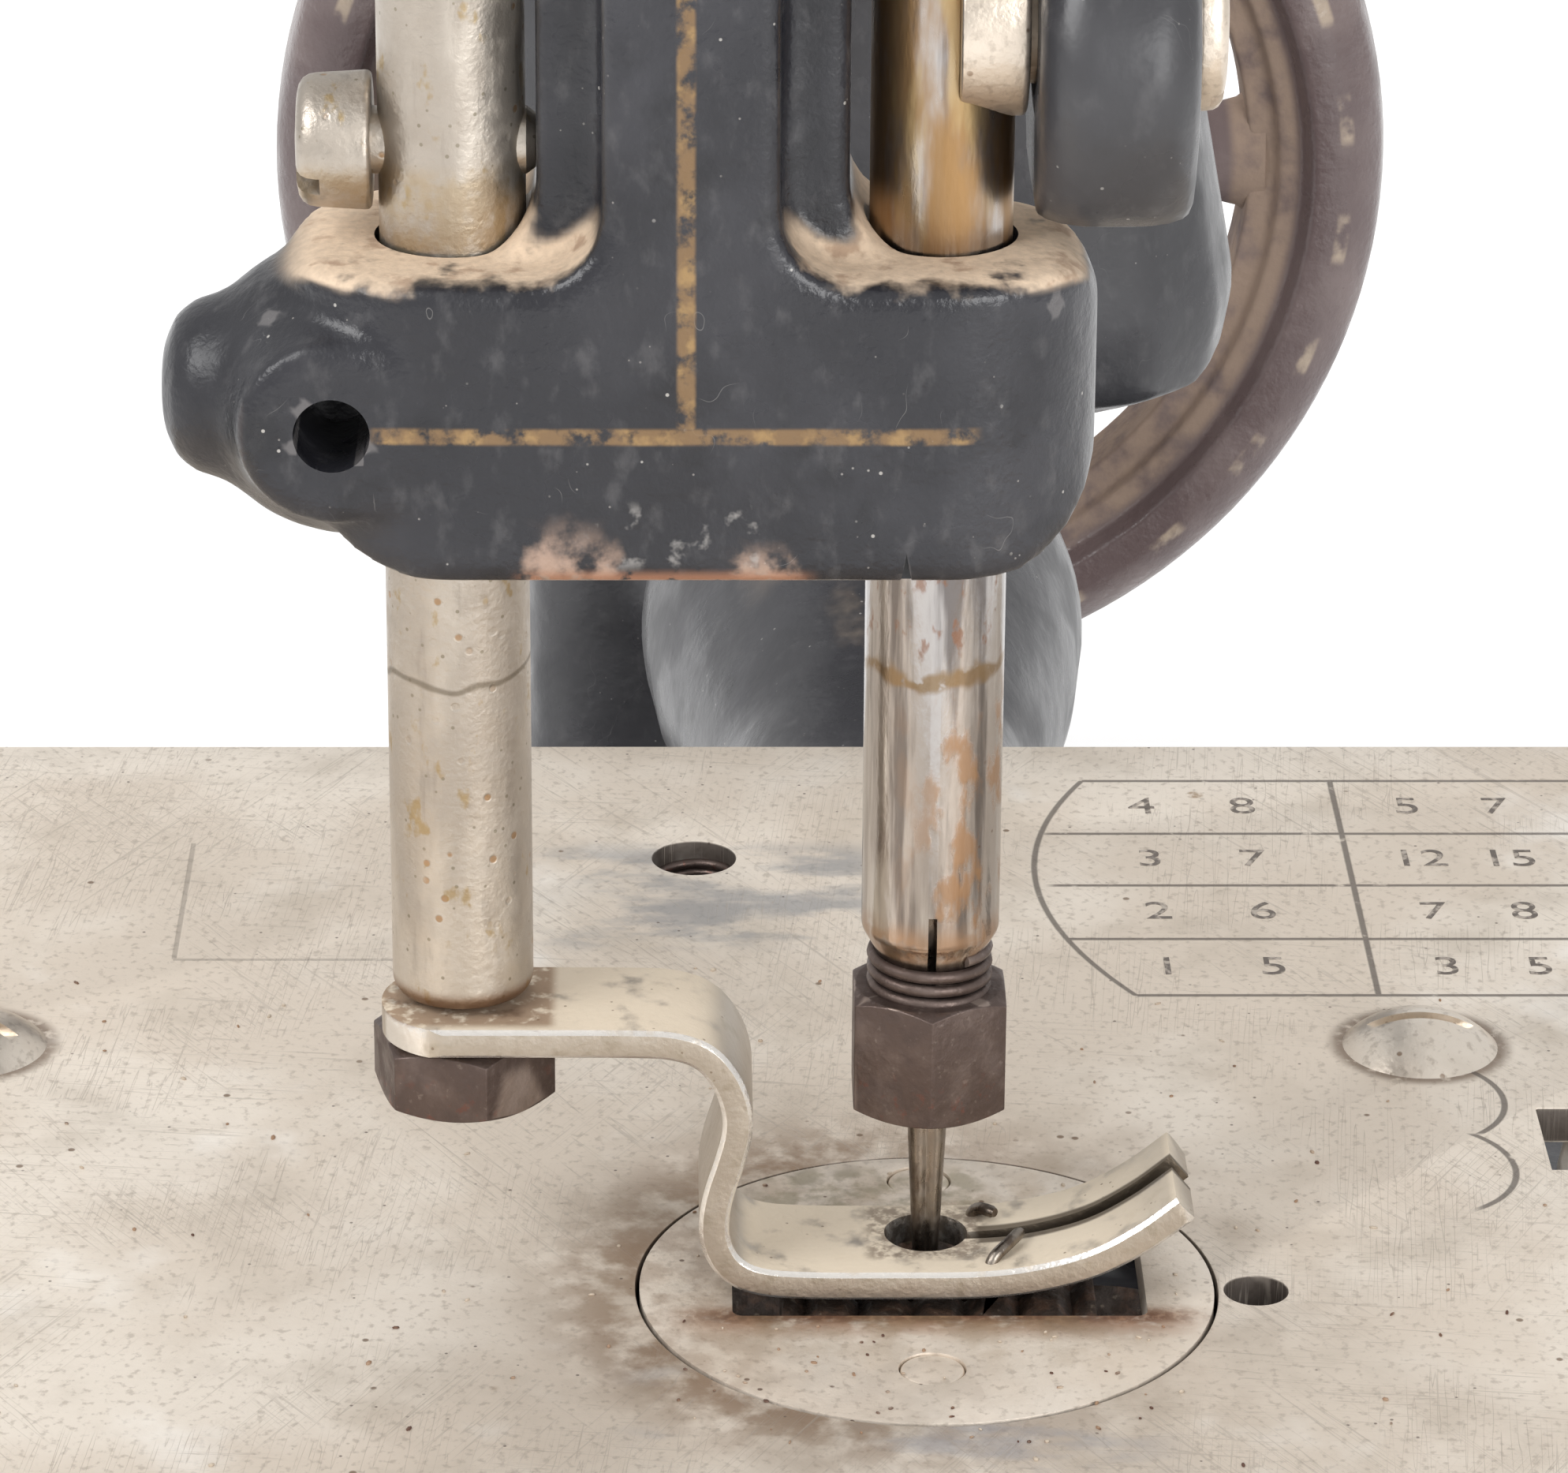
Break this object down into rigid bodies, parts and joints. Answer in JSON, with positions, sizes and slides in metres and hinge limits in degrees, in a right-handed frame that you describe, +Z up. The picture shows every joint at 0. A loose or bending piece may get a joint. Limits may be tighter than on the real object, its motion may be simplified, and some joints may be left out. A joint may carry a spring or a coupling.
{
  "type": "leather sewing machine",
  "caption": "Antique G-frame sewing machine with a slender arm, bare needle bar and presser bar side by side, a stepped presser foot, flat cloth plate and rear hand wheel",
  "frame": {"origin": "A point on the flat underside of the base, straight below the needle line and on the arm's centre plane", "axes": "+X from the needle line along the arm to the hand wheel, -Y towards the operator, +Z up"},
  "size_m": [0.2991, 0.1865, 0.2562],
  "materials": {
    "japan": "worn semi-gloss black japan over cast iron",
    "wheel_japan": "worn purple-brown japan on cast iron",
    "nickel": "worn warm nickel plate with pitting and light rust",
    "steel": "bright steel with rust stains",
    "dark_steel": "dark brown-grey oxidised steel",
    "bronze": "dull bearing bronze",
    "felt": "pressed wool felt",
    "dial_metal": "plated dial with engraved numerals"
  },
  "bodies": {
    "frame": {"base": "japan", "base_bolt_1": "dark_steel", "base_bolt_2": "dark_steel", "base_bolt_3": "dark_steel", "base_bolt_4": "dark_steel", "frame": "japan", "front_bush": "bronze", "rear_bush": "bronze", "cloth_plate": "nickel", "plate_screw_left": "nickel", "plate_screw_right": "nickel", "needle_plate": "nickel", "needle_plate_rivet_1": "nickel", "needle_plate_rivet_2": "nickel", "dial_stud": "nickel", "lever_pivot_screw": "steel", "presser_spring": "steel", "spool_pin": "nickel", "spool_felt": "felt", "tension_stud": "steel", "tension_disc_lower": "nickel", "tension_disc_upper": "nickel", "tension_spring": "steel", "thread_guide": "steel"},
    "shaft": {"main_shaft": "steel", "looper": "steel", "feed_cam": "steel", "eccentric": "steel", "hand_wheel": "wheel_japan", "belt_pulley": "steel", "wheel_nut": "dark_steel"},
    "pitman": {"pitman_rod": "steel"},
    "lever": {"needle_lever": "japan", "lever_rear_pin": "steel", "link_pivot_screw": "steel", "take_up_hook": "steel"},
    "link": {"needle_link": "japan"},
    "needle_bar": {"needle_bar": "steel", "link_stud": "dark_steel", "collet_nut": "dark_steel", "needle": "steel"},
    "presser": {"presser_bar": "nickel", "presser_foot": "nickel", "foot_screw": "dark_steel", "collar_screw": "nickel", "spring_seat": "steel", "lift_collar": "steel"},
    "lifter": {"presser_lifter": "nickel"},
    "pressure_nut": {"pressure_nut": "nickel"},
    "tension_nut": {"tension_nut": "nickel"},
    "dial": {"stitch_dial": "dial_metal"},
    "feed": {"feed_dog": "steel", "feed_bar": "steel"}
  },
  "joints": [
    {"name": "main_shaft_spin", "type": "hinge", "parent": "frame", "child": "shaft", "pos_m": [0, -0.0108, 0.0588], "axis": [1, 0, 0], "continuous": true},
    {"name": "pitman_swivel", "type": "hinge", "parent": "shaft", "child": "pitman", "pos_m": [0.172, -0.0108, 0.0624], "axis": [1, 0, 0], "continuous": true},
    {"name": "needle_lever_rock", "type": "hinge", "parent": "frame", "child": "lever", "pos_m": [0.12975, -0.022, 0.196], "axis": [0, 1, 0], "range_deg": [0, 9.8]},
    {"name": "link_swing", "type": "hinge", "parent": "lever", "child": "link", "pos_m": [0.0003, -0.022, 0.18401], "axis": [0, 1, 0], "range_deg": [-9.9, 0.1]},
    {"name": "needle_bar_slide", "type": "slide", "parent": "frame", "child": "needle_bar", "axis": [0, 0, 1], "range_m": [0, 0.0223]},
    {"name": "lifter_turn", "type": "hinge", "parent": "frame", "child": "lifter", "pos_m": [0, 0.022, 0.1997], "axis": [0, 1, 0], "range_deg": [0, 90]},
    {"name": "presser_bar_lift", "type": "slide", "parent": "frame", "child": "presser", "axis": [0, 0, 1], "range_m": [0, 0.006], "deforming": ["presser_spring"]},
    {"name": "feed_travel", "type": "slide", "parent": "frame", "child": "feed", "axis": [0, 1, 0], "range_m": [-0.002, 0.002]},
    {"name": "stitch_dial_turn", "type": "hinge", "parent": "frame", "child": "dial", "pos_m": [0.0135, -0.06, 0.0702], "axis": [0, 0, 1], "range_deg": [-20, 20]},
    {"name": "pressure_nut_turn", "type": "hinge", "parent": "frame", "child": "pressure_nut", "pos_m": [0, 0.01076, 0.1903], "axis": [0, 0, 1], "range_deg": [-180, 180]},
    {"name": "tension_nut_turn", "type": "hinge", "parent": "frame", "child": "tension_nut", "pos_m": [0.045, 0, 0.2169], "axis": [0, 0, 1], "range_deg": [-180, 180]}
  ],
  "couplings": [
    {"joint": "pitman_swivel", "follows": "main_shaft_spin", "ratio": -1},
    {"joint": "link_swing", "follows": "needle_lever_rock", "ratio": -1},
    {"joint": "needle_bar_slide", "follows": "needle_lever_rock", "m_per_rad": 0.1298},
    {"joint": "lifter_turn", "follows": "presser_bar_lift", "rad_per_m": 261.79}
  ]
}
